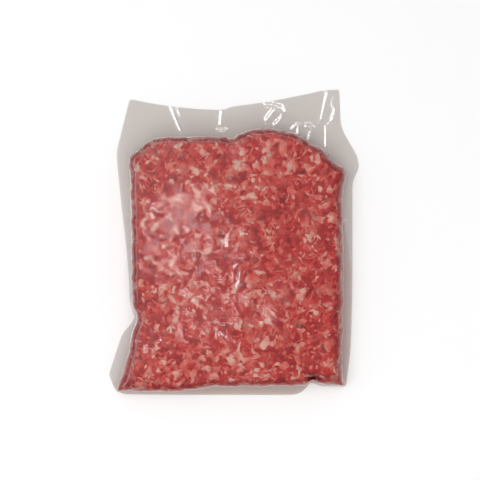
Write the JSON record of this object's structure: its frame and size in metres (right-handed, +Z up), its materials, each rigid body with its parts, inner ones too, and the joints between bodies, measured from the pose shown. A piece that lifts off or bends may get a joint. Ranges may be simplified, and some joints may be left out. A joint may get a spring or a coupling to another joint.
{
  "type": "bag of sausage meat",
  "caption": "Flat clear vacuum pouch filled with coarse raw sausage meat, with a slack sealed mouth at the top, for keeping the meat chilled.",
  "frame": {"origin": "on the resting face, under the middle of the pouch's width and length", "axes": "+X to the right across the shown face, +Y along the pouch towards its mouth, +Z up out of the shown face"},
  "size_m": [0.2, 0.245, 0.0319],
  "materials": {
    "sausage_meat": null,
    "clear_film": "clear vacuum film, glossy, slightly grey where two films lie together in the margins"
  },
  "bodies": {
    "root": {"sealed_bag": "sausage_meat"}
  },
  "joints": []
}
